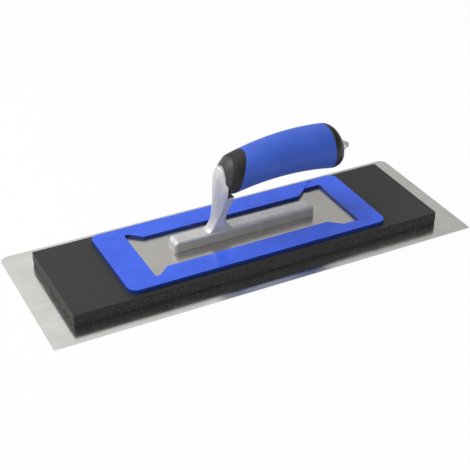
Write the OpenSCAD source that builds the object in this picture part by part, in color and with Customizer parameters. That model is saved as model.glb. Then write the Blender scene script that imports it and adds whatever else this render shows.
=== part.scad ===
// Foam-backed flexible finishing trowel with a clip-on cast handle.
// Millimetres, +Z up, +X along the blade. The origin is under the middle of the blade.

/* [Blade] */
// Length of the steel blade
blade_length = 355; // [290:1:600]
// Width of the steel blade
blade_width = 127; // [104:1:160]
// Thickness of the steel blade
blade_thickness = 0.5; // [0.3:0.1:1.2]
// Radius of the two rear blade corners
blade_corner_radius = 6.5; // [2:0.5:15]

/* [Foam board] */
// Bare blade beyond each end of the foam board
foam_end_margin = 21.5; // [10:0.5:30]
// Bare blade beyond each side of the foam board
foam_side_margin = 18; // [10:0.5:22]
// Height of the open-cell foam
foam_thickness = 8.8; // [5:0.1:15]
// Thickness of the stiff sheet on top of the foam
sheet_thickness = 1.5; // [1:0.1:3]

/* [Clip frame] */
// Length of the plastic frame
frame_length = 221; // [205:1:265]
// Bare sheet beyond each side of the frame
frame_side_margin = 4; // [1:0.5:5]
// Thickness of the frame
frame_thickness = 3.3; // [2.5:0.1:5]
// Outer corner radius of the frame
frame_corner_radius = 7; // [2:0.5:9]
// Length of the bar at the nose end of the frame
front_bar = 24.6; // [14:0.2:30]
// Length of the bar at the tail end of the frame
tail_bar = 19.4; // [14:0.2:30]
// Width of each side bar next to the end pockets
side_bar = 10.5; // [8:0.5:12]
// Extra width of each side bar along the waist of the window
waist_step = 8.5; // [4:0.5:9]
// Length of the straight sides of the nose-end pocket
front_pocket = 3.3; // [2:0.1:12]
// Length of the straight sides of the tail-end pocket
tail_pocket = 14.5; // [2:0.1:16]
// Length along X of each slant between pocket and waist
slant_length = 10; // [6:0.5:12]
// Diameter of the pegs that hold the frame on the sheet
peg_diameter = 5; // [3:0.5:6]
// Gap between the pegs in each side row
peg_spacing = 64; // [40:1:70]

/* [Handle plate and rail] */
// Thickness of the stainless handle plate
plate_thickness = 0.8; // [0.5:0.1:1.5]
// Length of the cast rail
rail_length = 123; // [110:1:135]
// Distance from the middle of the rail to the middle of the blade
rail_shift = 1.5; // [-3:0.5:5]
// Width of the cast rail
rail_width = 13; // [11:0.5:16]
// Height of the cast rail
rail_height = 8.9; // [7:0.1:12]
// Bevel along the top edges of the rail
rail_bevel = 1.4; // [0.5:0.1:2.5]
// Diameter of the mounting rivets
rivet_diameter = 4; // [3:0.2:5]
// Diameter of the countersunk rivet heads
rivet_head = 5.4; // [5.2:0.1:6]
// How deep each rivet reaches into the rail
rivet_depth = 5.5; // [3:0.1:6]
// Number of mounting rivets
rivet_count = 5; // [3:1:7]
// Distance between neighbouring rivets
rivet_spacing = 24; // [14:1:26]

/* [Shank] */
// Height of the tie rod above the top of the rail
handle_rise = 45.8; // [40:0.1:55]
// Width of the shank at its neck
neck_width = 9.6; // [8:0.2:11]
// Width of the leaf-shaped head of the shank
leaf_width = 21; // [16:0.2:22]
// How far the tip of the leaf stands above the tie rod
leaf_tip = 7.7; // [6:0.1:10]
// Thickness of the leaf where the tie rod screws in
leaf_thickness = 8.6; // [7:0.1:9]
// How far the shank reaches back below the band
boss_length = 15; // [13:0.2:18]

/* [Handle] */
// Length of the soft grip along the handle
grip_length = 78; // [66:1:100]
// Radius of the grip next to the ferrule
grip_front_radius = 15.5; // [14:0.1:18]
// Radius of the grip next to the end cap
grip_rear_radius = 18.2; // [15:0.1:20]
// Wall of the soft grip sleeve
sleeve_wall = 3; // [1.5:0.1:4]
// Radius of the arc that the handle follows
arch_radius = 210; // [190:1:600]
// Rise of the crown of the handle above the tie rod
crown_rise = 5.8; // [3:0.1:6.5]
// Length of the band between ferrule and grip
band_length = 8.5; // [5:0.1:9]
// Length of the domed ferrule in front of the band
ferrule_length = 11.2; // [9:0.1:17]
// Step from the band down to the ferrule
ferrule_step = 0.7; // [0.3:0.1:1.5]
// Length of the domed end cap
cap_length = 11.4; // [8:0.1:20]
// Lean of the front seam, its top further back
front_lean = 15; // [0:1:18]
// Lean of the rear seam, its top further forward
rear_lean = 6; // [0:1:10]

/* [Fasteners] */
// Diameter of the steel tie rod
rod_diameter = 5; // [4:0.5:6]
// Width across the flats of the nut
nut_flats = 7.5; // [7:0.5:10]
// Height of the nut
nut_height = 5; // [3:0.1:6]
// Diameter of the washer
washer_diameter = 10; // [9:0.5:12]
// Thickness of the washer
washer_thickness = 1.2; // [0.5:0.1:1.6]

/* [Fits] */
// Gap between the handle plate and the window of the frame
plate_clearance = 0.4; // [0.2:0.05:0.8]
// Gap around pegs, rod and rivets in their holes
pin_clearance = 0.1; // [0.05:0.05:0.3]
// Gap between the leaf and its recess in the ferrule
leaf_clearance = 0.15; // [0.1:0.05:0.3]

/* [Hidden] */
$fn = 64;
eps = 0.01;

// Heights of the stack, from the working face up.
foam_z = blade_thickness;
sheet_z = foam_z + foam_thickness;
frame_z = sheet_z + sheet_thickness;
plate_top = frame_z + plate_thickness;
rail_top = plate_top + rail_height;
rod_z = rail_top + handle_rise;

// Plan sizes that follow from the blade and the margins.
foam_length = blade_length - 2 * foam_end_margin;
foam_width = blade_width - 2 * foam_side_margin;
frame_width = foam_width - 2 * frame_side_margin;
window_front = -frame_length / 2 + front_bar;
window_tail = frame_length / 2 - tail_bar;
pocket_half = frame_width / 2 - side_bar;
waist_half = pocket_half - waist_step;
peg_inset = side_bar / 2;
peg_hole = peg_diameter / 2 + pin_clearance;

// The rail and the shank on it.
rail_front = rail_shift - rail_length / 2;
leaf_top = rod_z + leaf_tip;
leaf_wide_z = rod_z - 7;
neck_z = rail_top + 5;
foot_z = rail_top - 3;

// Outline of the shank from the side. Each row is the share of the way up from the rail to the
// tie rod, then how far behind shank_front or shank_back the outline lies there.
front_line = [[-0.07, -7], [0, -6], [0.05, -4.2], [0.12, -2.5], [0.23, -1.3], [0.43, -0.3], [0.6, 0.2],
              [0.9, 1], [1.02, 1.8], [1.17, 4.3]];
back_line = [[-0.07, 0], [0, -2], [0.03, -3.8], [0.1, -5.4], [0.2, -5.9], [0.34, -4.2], [0.45, -2],
             [0.56, -0.2], [0.65, 0]];
// How deep the front bulges at each share of the way up, as a part of the half width.
bulge_line = [[-0.07, 0.3], [0.08, 0.3], [0.23, 0.62], [0.47, 0.88], [0.75, 0.7], [0.9, 0.68],
              [1.17, 0.45]];

// Places along the handle: seams between its pieces, measured on its centre line.
grip_x = -2.5;
crown_offset = 46.4;
band_x = grip_x - band_length;
cap_x = grip_x + grip_length;
crown_x = grip_x + crown_offset;
cap_end_x = cap_x + cap_length;
nose_x = band_x - ferrule_length;
seat_depth = 0.4;
seat_x = cap_end_x - seat_depth;
nut_x = seat_x + washer_thickness;
ring_points = 40;
ring_steps = 12;
bulge_steps = 12;
shank_steps = 16;
band_gap = 0.3;

// Height of the handle's arched centre line at x.
function centre_z(x) =
    rod_z + crown_rise - arch_radius + sqrt(pow(arch_radius, 2) - pow(x - crown_x, 2));

// Radius of the grip at x: an even taper between its two ends.
function grip_radius(x) =
    grip_front_radius + (grip_rear_radius - grip_front_radius) * (x - grip_x) / grip_length;

// Slope of a ring's plane at x, blending from the front seam's lean to the rear seam's.
function ring_slope(x) =
    let (t = max(0, min(1, (x - grip_x) / grip_length)))
    tan(front_lean) * (1 - t) - tan(rear_lean) * t;

// The leaf stays in front of the band and the boss stays below it, with a little room for both.
leaf_back = band_x - tan(front_lean) * grip_radius(band_x) - band_gap;
shank_front = leaf_back - leaf_thickness;
shank_back = shank_front + boss_length;
band_under = centre_z(band_x) - grip_radius(band_x) - band_gap;

// The tie rod screws into the leaf and stands proud of the nut.
thread_reach = 4.6;
rod_proud = 3.5;
rod_start = leaf_back - thread_reach;
rod_end = nut_x + nut_height + rod_proud;

// One closed ring of points around the handle at x.
function ring(x, radius) = [
    for (i = [0 : ring_points - 1])
        let (a = 360 * i / ring_points, up = radius * cos(a))
        [x + ring_slope(x) * up, radius * sin(a), centre_z(x) + up]
];

// Half width of the shank at height z: waisted neck, then a leaf that closes at its tip.
function leaf_half(z) =
    z <= neck_z ? neck_width / 2 + 1.3 * pow((neck_z - z) / (neck_z - foot_z), 2)
    : z <= leaf_wide_z
        ? neck_width / 2
            + (leaf_width - neck_width) / 4 * (1 - cos(180 * (z - neck_z) / (leaf_wide_z - neck_z)))
    : leaf_width / 2 * sqrt(max(0, 1 - pow((z - leaf_wide_z) / (leaf_top - leaf_wide_z), 2)));

// A solid skinned over equal rings, closed by a flat face at each end.
module loft(rings) {
    n = len(rings[0]);
    last = len(rings) - 1;
    points = [for (r = rings) each r];
    front = [[for (i = [0 : n - 1]) i]];
    back = [[for (i = [n - 1 : -1 : 0]) last * n + i]];
    sides = [
        for (k = [0 : last - 1], i = [0 : n - 1])
            let (j = (i + 1) % n)
            each [[k * n + i, (k + 1) * n + i, (k + 1) * n + j], [k * n + i, (k + 1) * n + j, k * n + j]]
    ];
    polyhedron(points, concat(front, back, sides));
}

// A tube skinned over equal outer and inner rings.
module tube_loft(outer, inner) {
    n = len(outer[0]);
    rows = len(outer);
    loop = concat(outer, [for (k = [rows - 1 : -1 : 0]) inner[k]]);
    points = [for (r = loop) each r];
    total = len(loop);
    faces = [
        for (k = [0 : total - 1], i = [0 : n - 1])
            let (m = (k + 1) % total, j = (i + 1) % n)
            each [[k * n + i, m * n + i, m * n + j], [k * n + i, m * n + j, k * n + j]]
    ];
    polyhedron(points, faces);
}

// Cylinder along +X from x, centred on the tie rod's axis.
module along_rod(x, length, radius) {
    translate([x, 0, rod_z]) rotate([0, 90, 0]) cylinder(h = length, r = radius);
}

// Outline of the window in the frame, drawn in by inset on every side.
module window_outline(inset = 0) {
    left = window_front + inset;
    right = window_tail - inset;
    pocket = pocket_half - inset;
    waist = waist_half - inset;
    left_in = window_front + front_pocket;
    right_in = window_tail - tail_pocket;
    polygon([
        [left, -pocket], [left_in, -pocket], [left_in + slant_length, -waist],
        [right_in - slant_length, -waist], [right_in, -pocket], [right, -pocket],
        [right, pocket], [right_in, pocket], [right_in - slant_length, waist],
        [left_in + slant_length, waist], [left_in, pocket], [left, pocket]
    ]);
}

// Rectangle about the origin with four round corners.
module rounded_rectangle(length, width, radius) {
    square([length - 2 * radius, width], center = true);
    square([length, width - 2 * radius], center = true);
    for (x = [-1, 1], y = [-1, 1])
        translate([x * (length / 2 - radius), y * (width / 2 - radius)]) circle(r = radius);
}

// Places of the pegs: a row of three along each side bar.
module at_pegs() {
    for (x = [-1 : 1], y = [-1, 1])
        translate([x * peg_spacing, y * (frame_width / 2 - peg_inset), sheet_z]) children();
}

module at_rivets() {
    for (i = [0 : rivet_count - 1])
        translate([rail_shift + (i - (rivet_count - 1) / 2) * rivet_spacing, 0, frame_z]) children();
}

// A countersunk rivet standing on z = 0, or its hole when it is grown.
module rivet(grow = 0) {
    cylinder(h = plate_thickness, r1 = rivet_head / 2 + grow, r2 = rivet_diameter / 2 + grow);
    cylinder(h = plate_thickness + rivet_depth + grow, r = rivet_diameter / 2 + grow);
}

module blade() {
    r = blade_corner_radius;
    color([0.80, 0.81, 0.78])
    linear_extrude(height = blade_thickness)
    union() {
        translate([-blade_length / 2, -blade_width / 2]) square([blade_length, blade_width - r]);
        translate([-blade_length / 2 + r, 0]) square([blade_length - 2 * r, blade_width / 2]);
        for (x = [-1, 1])
            translate([x * (blade_length / 2 - r), blade_width / 2 - r]) circle(r = r);
    }
}

module foam_pad() {
    color([0.15, 0.15, 0.15])
    translate([-foam_length / 2, -foam_width / 2, foam_z]) cube([foam_length, foam_width, foam_thickness]);
}

module top_sheet() {
    color([0.22, 0.22, 0.22])
    difference() {
        translate([-foam_length / 2, -foam_width / 2, sheet_z])
            cube([foam_length, foam_width, sheet_thickness]);
        at_pegs() translate([0, 0, -eps]) cylinder(h = sheet_thickness + 2 * eps, r = peg_hole);
    }
}

module clip_frame() {
    color([0.20, 0.36, 0.85])
    union() {
        translate([0, 0, frame_z]) linear_extrude(height = frame_thickness)
        difference() {
            rounded_rectangle(frame_length, frame_width, frame_corner_radius);
            window_outline();
        }
        at_pegs() cylinder(h = sheet_thickness + eps, r = peg_diameter / 2);
    }
}

module handle_plate() {
    color([0.67, 0.66, 0.63])
    difference() {
        translate([0, 0, frame_z]) linear_extrude(height = plate_thickness)
            window_outline(plate_clearance);
        at_rivets() rivet(pin_clearance);
    }
}

module mounting_rivets() {
    color([0.72, 0.72, 0.73]) at_rivets() rivet();
}

// Section of the rail, flat at the bottom and bevelled along its top edges.
module rail_section() {
    half = rail_width / 2;
    polygon([
        [-half, 0], [half, 0], [half, rail_height - rail_bevel], [half - rail_bevel, rail_height],
        [-half + rail_bevel, rail_height], [-half, rail_height - rail_bevel]
    ]);
}

// Level section of the shank at height z: a round front, then straight sides to its back.
function shank_section(z, back) =
    let (
        up = (z - rail_top) / handle_rise,
        half = leaf_half(z),
        front = shank_front + lookup(up, front_line),
        bulge = min(half * lookup(up, bulge_line), back - front - 0.3)
    )
    concat(
        [for (k = [0 : bulge_steps])
            let (a = 90 - 180 * k / bulge_steps)
            [front + bulge * (1 - cos(a)), half * sin(a), z]],
        [[back, -0.94 * half, z], [back, 0.94 * half, z]]
    );

// Front view of the shank in Y and Z, grown all round.
module shank_front_view(grow = 0) {
    steps = 28;
    heights = [for (k = [0 : steps]) foot_z + (leaf_top - foot_z) * sin(90 * k / steps)];
    polygon(concat(
        [for (z = heights) [leaf_half(z) + grow, z + (z > rod_z ? grow : 0)]],
        [for (k = [steps - 1 : -1 : 0]) let (z = heights[k])
            [-leaf_half(z) - grow, z + (z > rod_z ? grow : 0)]]
    ));
}

// The shank: a boss from inside the rail to the band, then the leaf in front of the ferrule.
module shank() {
    boss = [for (k = [0 : shank_steps]) foot_z + (band_under - foot_z) * k / shank_steps];
    leaf_start = band_under + eps;
    leaf = [for (k = [0 : shank_steps]) leaf_start + (leaf_top - leaf_start) * sin(85 * k / shank_steps)];
    loft(concat(
        [for (z = boss) shank_section(z, shank_back + lookup((z - rail_top) / handle_rise, back_line))],
        [for (z = leaf) shank_section(z, leaf_back)]
    ));
}

module bracket() {
    color([0.76, 0.77, 0.78])
    difference() {
        union() {
            translate([rail_front, 0, plate_top]) rotate([90, 0, 90])
                linear_extrude(height = rail_length) rail_section();
            shank();
        }
        at_rivets() rivet(pin_clearance);
        // The nose end of the rail slopes down to the plate.
        translate([rail_front, 0, rail_top]) rotate([0, -35, 0])
            translate([-10, -rail_width, -2]) cube([10, 2 * rail_width, 12]);
        along_rod(rod_start - pin_clearance, 30, rod_diameter / 2 + pin_clearance);
    }
}

module tie_rod() {
    color([0.70, 0.70, 0.70]) along_rod(rod_start, rod_end - rod_start, rod_diameter / 2);
}

// Stations between two places along the handle, both ends included.
function stations(from, to, steps) = [for (k = [0 : steps]) from + (to - from) * k / steps];

module handle_core() {
    color([0.12, 0.12, 0.13])
    difference() {
        loft([for (x = stations(band_x, cap_x, ring_steps))
            ring(x, grip_radius(x) - sleeve_wall - pin_clearance)]);
        along_rod(nose_x, cap_end_x - nose_x, rod_diameter / 2 + pin_clearance);
    }
}

module ferrule_band() {
    places = stations(band_x, grip_x, 3);
    color([0.10, 0.10, 0.11])
    tube_loft(
        [for (x = places) ring(x, grip_radius(x))],
        [for (x = places) ring(x, grip_radius(x) - sleeve_wall)]
    );
}

module grip_sleeve() {
    places = stations(grip_x, cap_x, ring_steps);
    color([0.22, 0.36, 0.80])
    tube_loft(
        [for (x = places) ring(x, grip_radius(x))],
        [for (x = places) ring(x, grip_radius(x) - sleeve_wall)]
    );
}

// The ferrule is a blunt dome with a recess for the leaf.
module nose_ferrule() {
    steps = 14;
    full = grip_radius(band_x) - ferrule_step;
    tip_angle = 6;
    nose_power = 1.3;
    color([0.13, 0.13, 0.14])
    difference() {
        loft([for (k = [0 : steps])
            let (a = tip_angle + (90 - tip_angle) * k / steps)
            ring(band_x - ferrule_length * cos(a), full * pow(sin(a), nose_power))]);
        translate([shank_front - 20, 0, 0]) rotate([90, 0, 90])
            linear_extrude(height = leaf_back + leaf_clearance - shank_front + 20)
            shank_front_view(leaf_clearance);
        along_rod(nose_x - 1, ferrule_length + 20, rod_diameter / 2 + pin_clearance);
    }
}

// The end cap is a blunt dome with a flat seat for the washer.
module end_cap() {
    steps = 12;
    full = grip_radius(cap_x);
    tip_share = 0.36;
    dome_power = 0.95;
    color([0.10, 0.10, 0.11])
    difference() {
        loft([for (k = [0 : steps])
            let (
                a = 90 * k / steps,
                x = cap_x + cap_length * sin(a),
                drop = (rod_z - centre_z(x)) * pow(sin(a), 3),
                radius = full * (tip_share + (1 - tip_share) * pow(cos(a), dome_power))
            )
            [for (p = ring(x, radius)) [p[0], p[1], p[2] + drop]]]);
        along_rod(cap_x - 10, cap_length + 30, rod_diameter / 2 + pin_clearance);
        along_rod(seat_x, 20, washer_diameter / 2 + 0.6);
    }
}

module washer() {
    color([0.68, 0.68, 0.68])
    difference() {
        along_rod(seat_x, washer_thickness, washer_diameter / 2);
        along_rod(seat_x - 1, washer_thickness + 2, rod_diameter / 2 + pin_clearance);
    }
}

module handle_nut() {
    color([0.72, 0.72, 0.72])
    difference() {
        translate([nut_x, 0, rod_z]) rotate([0, 90, 0])
            cylinder(h = nut_height, r = nut_flats / 2 / cos(30), $fn = 6);
        along_rod(nut_x - 1, nut_height + 2, rod_diameter / 2 + pin_clearance);
    }
}

blade();
foam_pad();
top_sheet();
clip_frame();
handle_plate();
mounting_rivets();
bracket();
tie_rod();
handle_core();
nose_ferrule();
ferrule_band();
grip_sleeve();
end_cap();
washer();
handle_nut();
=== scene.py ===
"""Foam-backed finishing trowel with a clip-on cast handle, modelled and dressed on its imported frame.

Meshes are drawn in millimetres, in the frame's axes, and stored in metres.
"""

import logging
import math
from dataclasses import dataclass
from enum import Enum
from typing import Callable, Optional, Sequence, Union

import bmesh
import bpy
from mathutils import Matrix, Vector, noise


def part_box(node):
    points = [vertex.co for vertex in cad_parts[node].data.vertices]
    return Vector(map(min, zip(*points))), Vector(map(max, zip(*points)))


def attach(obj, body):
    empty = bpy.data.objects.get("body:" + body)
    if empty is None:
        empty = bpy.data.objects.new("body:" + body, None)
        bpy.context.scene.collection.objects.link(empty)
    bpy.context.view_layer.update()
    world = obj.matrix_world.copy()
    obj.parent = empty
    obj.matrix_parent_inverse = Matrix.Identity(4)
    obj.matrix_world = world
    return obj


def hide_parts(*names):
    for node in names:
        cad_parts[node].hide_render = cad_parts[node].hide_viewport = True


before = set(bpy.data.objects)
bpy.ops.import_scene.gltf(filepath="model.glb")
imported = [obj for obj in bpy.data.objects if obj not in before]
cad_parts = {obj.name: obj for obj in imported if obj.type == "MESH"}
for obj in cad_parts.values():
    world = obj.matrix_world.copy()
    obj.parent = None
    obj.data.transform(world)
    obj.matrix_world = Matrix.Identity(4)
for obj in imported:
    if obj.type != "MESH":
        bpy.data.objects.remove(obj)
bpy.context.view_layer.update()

MM = 0.001
SHEET_GAP = 0.02    # millimetres of air under a sheet that lies on another
LOG = logging.getLogger("trowel")

Point2 = tuple[float, float]
Point3 = tuple[float, float, float]
Colour = tuple[float, float, float]
Socket = bpy.types.NodeSocket
Piece = bpy.types.Object


class Body(Enum):
    """The two bodies of the frame."""

    HEAD = "blade_head"
    HANDLE = "handle_unit"


class Sum(Enum):
    """How two values are combined."""

    ADDED = "ADD"
    MULTIPLIED = "MULTIPLY"


class Fuse(Enum):
    """How one solid works on another."""

    JOIN = "UNION"
    CUT = "DIFFERENCE"


@dataclass(frozen=True)
class NodeBox:
    """Lowest and highest corner of a CAD node, in millimetres."""

    low: Vector
    high: Vector

    @classmethod
    def of(cls, node: str) -> "NodeBox":
        """Reads one node's box from the frame."""
        low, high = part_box(node)
        return cls(Vector(low) / MM, Vector(high) / MM)

    @property
    def middle(self) -> Vector:
        """The middle of the box."""
        return (self.low + self.high) / 2

    @property
    def size(self) -> Vector:
        """Length, width and height of the box."""
        return self.high - self.low


# ---- Node materials


def set_inputs(node: bpy.types.Node, values: dict[str, object]) -> None:
    """Sets constant inputs of a node; an underscore in a name stands for a space."""
    for key, value in values.items():
        node.inputs[key.replace("_", " ")].default_value = value


class Wiring:
    """Adds nodes to one node tree."""

    def __init__(self, tree: bpy.types.NodeTree) -> None:
        """Takes the tree to work on."""
        self.nodes, self.links = tree.nodes, tree.links

    def add(self, kind: str, **values: object) -> bpy.types.Node:
        """Adds a node.

        Args:
            kind: its type, without ShaderNode.
            values: its constant inputs.

        Returns:
            The new node.
        """
        node = self.nodes.new("ShaderNode" + kind)
        set_inputs(node, values)
        return node


class Tree(Wiring):
    """Short calls that build one material's node tree."""

    def __init__(self, name: str) -> None:
        """Makes a material with a bare Principled shader and object coordinates.

        Args:
            name: the material's name.
        """
        self.material = bpy.data.materials.new(name)
        self.material.use_nodes = True
        super().__init__(self.material.node_tree)
        self.shader = self.nodes["Principled BSDF"]
        self.place = self.add("TexCoord").outputs["Object"]

    def fix(self, **values: float) -> None:
        """Sets constant inputs of the shader."""
        set_inputs(self.shader, values)

    def drive(self, name: str, source: Socket) -> None:
        """Links a varying value or colour to one input of the shader."""
        self.links.new(source, self.shader.inputs[name])

    def stretched(self, scale: Point3) -> Socket:
        """Object coordinates scaled per axis, in repeats per metre.

        Args:
            scale: repeats per metre along each axis.

        Returns:
            The scaled coordinates.
        """
        node = self.add("Mapping", Scale=scale)
        self.links.new(self.place, node.inputs["Vector"])
        return node.outputs["Vector"]

    def noise(
        self,
        scale: float,
        detail: float = 3.0,
        rough: float = 0.55,
        place: Optional[Socket] = None,
    ) -> Socket:
        """Adds a noise texture.

        Args:
            scale: repeats per metre, or 1 on coordinates that are scaled already.
            detail: octaves.
            rough: weight of the fine octaves.
            place: coordinates; the object's own if left out.

        Returns:
            The noise value, about 0.3 to 0.7 for most of the surface.
        """
        node = self.add("TexNoise", Scale=scale, Detail=detail, Roughness=rough)
        self.links.new(place or self.place, node.inputs["Vector"])
        return node.outputs["Fac"]

    def cells(self, scale: float) -> Socket:
        """Distance to the nearest cell centre, for pores and grains.

        Args:
            scale: cells per metre.

        Returns:
            The distance.
        """
        node = self.add("TexVoronoi", Scale=scale)
        self.links.new(self.place, node.inputs["Vector"])
        return node.outputs["Distance"]

    def edges(self) -> Socket:
        """How sharply the surface bends: above a half on outer edges."""
        return self.add("NewGeometry").outputs["Pointiness"]

    def upright(self) -> Socket:
        """How far the surface faces up: 1 on level tops, 0 on vertical sides.

        Returns:
            The upward share of the face's direction.
        """
        normal = self.add("NewGeometry").outputs["True Normal"]
        parts = self.add("SeparateXYZ")
        self.links.new(normal, parts.inputs[0])
        return parts.outputs["Z"]

    def span(
        self, source: Socket, start: float, end: float, low: float = 0.0, high: float = 1.0
    ) -> Socket:
        """Maps start..end to low..high and holds it there outside.

        Args:
            source: the value to map.
            start, end: the stretch of the source that is used.
            low, high: what it becomes.

        Returns:
            The mapped value.
        """
        node = self.add("MapRange", From_Min=start, From_Max=end, To_Min=low, To_Max=high)
        self.links.new(source, node.inputs["Value"])
        return node.outputs["Result"]

    def join(self, kind: Sum, first: Socket, second: Socket) -> Socket:
        """Adds or multiplies two values.

        Args:
            kind: which of the two.
            first, second: the values.

        Returns:
            The result.
        """
        node = self.add("Math")
        node.operation = kind.value
        self.links.new(first, node.inputs[0])
        self.links.new(second, node.inputs[1])
        return node.outputs["Value"]

    def blend(self, factor: Socket, first: Union[Colour, Socket], second: Colour) -> Socket:
        """Mixes two colours.

        Args:
            factor: 0 for the first colour, 1 for the second.
            first: a fixed colour, or a varying one that the second is laid over.
            second: a fixed colour.

        Returns:
            The mixed colour.
        """
        node = self.add("Mix")
        node.data_type = "RGBA"
        self.links.new(factor, node.inputs["Factor"])
        under, top = [s for s in node.inputs if s.type == "RGBA"]
        if isinstance(first, tuple):
            under.default_value = (*first, 1.0)
        else:
            self.links.new(first, under)
        top.default_value = (*second, 1.0)
        return [s for s in node.outputs if s.type == "RGBA"][0]

    def bump(
        self,
        height: Socket,
        depth_mm: float,
        strength: float = 1.0,
        after: Optional[Socket] = None,
    ) -> Socket:
        """Adds relief to the shading normal.

        Args:
            height: the height, 0 to 1.
            depth_mm: the height of a full step.
            strength: share of the relief that shows.
            after: the normal of an earlier bump, to stack on.

        Returns:
            The bumped normal, already linked to the shader.
        """
        node = self.add("Bump", Distance=depth_mm * MM, Strength=strength)
        self.links.new(height, node.inputs["Height"])
        if after is not None:
            self.links.new(after, node.inputs["Normal"])
        self.links.new(node.outputs["Normal"], self.shader.inputs["Normal"])
        return node.outputs["Normal"]


def deeper(colour: Colour, share: float) -> Colour:
    """The same hue at a share of its brightness."""
    return tuple(share * c for c in colour)


@dataclass(frozen=True)
class BrushedSteel:
    """Stainless sheet with fine lines along its length and faint smears."""

    name: str
    light: Colour = (0.92, 0.925, 0.88)
    dark: Colour = (0.78, 0.785, 0.74)
    roughness: float = 0.2
    lines_per_metre: Point3 = (6.0, 3200.0, 3200.0)
    smears_per_metre: float = 34.0
    line_depth_mm: float = 0.003

    def material(self) -> bpy.types.Material:
        """Builds the node material.

        Returns:
            The material.
        """
        tree = Tree(self.name)
        tree.fix(Metallic=1.0, Anisotropic=0.35)
        lines = tree.noise(1.0, 2.0, 0.6, tree.stretched(self.lines_per_metre))
        smears = tree.noise(self.smears_per_metre, 4.0, 0.6)
        tone = tree.span(tree.join(Sum.ADDED, lines, smears), 0.75, 1.25)
        tree.drive("Base Color", tree.blend(tone, self.dark, self.light))
        duller, finer = 0.025, 0.015
        rough = tree.join(
            Sum.ADDED,
            tree.span(smears, 0.35, 0.65, self.roughness - finer, self.roughness + duller),
            tree.span(lines, 0.3, 0.7, -finer, duller),
        )
        tree.drive("Roughness", rough)
        tree.bump(lines, self.line_depth_mm, 0.4)
        return tree.material


@dataclass(frozen=True)
class CastAlloy:
    """Tumbled aluminium casting: soft sheen, fine grain, and edges lightened by real polish and a painted
    highlight.
    """

    name: str
    light: Colour = (0.72, 0.72, 0.72)
    dark: Colour = (0.58, 0.58, 0.58)
    roughness: float = 0.42
    grain_mm: float = 0.45
    polish_and_highlight: Colour = (0.95, 0.95, 0.95)
    clouds_per_metre: float = 120.0

    def material(self) -> bpy.types.Material:
        """Builds the node material.

        Returns:
            The material.
        """
        tree = Tree(self.name)
        tree.fix(Metallic=0.65)
        clouds = tree.noise(self.clouds_per_metre, 4.0, 0.6)
        grain = tree.noise(1.0 / (self.grain_mm * MM), 2.0, 0.5)
        # Sharp edges turn pale and smoother: real polish from tumbling, and a painted highlight along the
        # bevels.
        rubbed = tree.span(tree.edges(), 0.515, 0.545, 0.0, 0.8)
        tone = tree.blend(tree.span(clouds, 0.3, 0.7), self.dark, self.light)
        tree.drive("Base Color", tree.blend(rubbed, tone, self.polish_and_highlight))
        rough = tree.span(clouds, 0.3, 0.7, self.roughness + 0.06, self.roughness - 0.05)
        smoother = tree.span(rubbed, 0.0, 0.9, 0.0, -0.12)
        tree.drive("Roughness", tree.join(Sum.ADDED, rough, smoother))
        tree.bump(grain, 0.012, 0.8, tree.bump(clouds, 0.05, 0.5))
        return tree.material


@dataclass(frozen=True)
class MouldedPlastic:
    """Injection-moulded plastic: a faint ripple in the gloss, tiny scuffs, rubbed edges."""

    name: str
    colour: Colour
    worn: Colour
    roughness: float = 0.25
    ripple_mm: float = 0.01
    scuffs: float = 0.06
    specular: float = 0.5
    painted_side_shade: float = 0.0
    ripples_per_metre: float = 260.0
    scuffs_per_metre: float = 900.0

    def material(self) -> bpy.types.Material:
        """Builds the node material.

        Returns:
            The material.
        """
        tree = Tree(self.name)
        tree.fix(Specular_IOR_Level=self.specular)
        tone = tree.span(tree.noise(60.0, 3.0, 0.5), 0.35, 0.65)
        base = tree.blend(tone, deeper(self.colour, 0.86), self.colour)
        worn = tree.blend(tree.span(tree.edges(), 0.52, 0.6, 0.0, 0.45), base, self.worn)
        # Painted shade: surfaces that stand upright take a deeper tone of the colour.
        sides = tree.span(tree.upright(), 0.15, 0.85, self.painted_side_shade, 0.0)
        tree.drive("Base Color", tree.blend(sides, worn, deeper(self.colour, 0.25)))
        scuff = tree.noise(self.scuffs_per_metre, 4.0, 0.7)
        dull = tree.span(scuff, 0.3, 0.75, self.roughness, self.roughness + self.scuffs)
        tree.drive("Roughness", dull)
        ripple = tree.bump(tree.noise(self.ripples_per_metre, 2.0, 0.4), self.ripple_mm, 0.7)
        tree.bump(scuff, 0.006, 0.6, ripple)
        return tree.material


@dataclass(frozen=True)
class SoftRubber:
    """Soft matt grip rubber with a fine pebbled skin and a dusty sheen."""

    name: str
    colour: Colour
    worn: Colour
    roughness: float = 0.55
    grain_mm: float = 0.5
    sheen: float = 0.15
    painted_under_shade: float = 0.45

    def material(self) -> bpy.types.Material:
        """Builds the node material.

        Returns:
            The material.
        """
        tree = Tree(self.name)
        tree.fix(Specular_IOR_Level=0.4, Sheen_Weight=self.sheen, Sheen_Roughness=0.4)
        cloud = tree.noise(45.0, 4.0, 0.55)
        base = tree.blend(tree.span(cloud, 0.35, 0.65), deeper(self.colour, 0.84), self.colour)
        worn = tree.blend(tree.span(tree.edges(), 0.55, 0.65, 0.0, 0.25), base, self.worn)
        # Painted shade: the underside takes a deeper tone of the colour.
        under = tree.span(tree.upright(), -0.9, 0.5, self.painted_under_shade, 0.0)
        tree.drive("Base Color", tree.blend(under, worn, deeper(self.colour, 0.2)))
        dull = tree.span(cloud, 0.3, 0.7, self.roughness + 0.05, self.roughness - 0.05)
        tree.drive("Roughness", dull)
        pebbles = tree.cells(1.0 / (self.grain_mm * MM))
        tree.bump(pebbles, 0.03, 0.6, tree.bump(cloud, 0.08, 0.5))
        return tree.material


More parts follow.
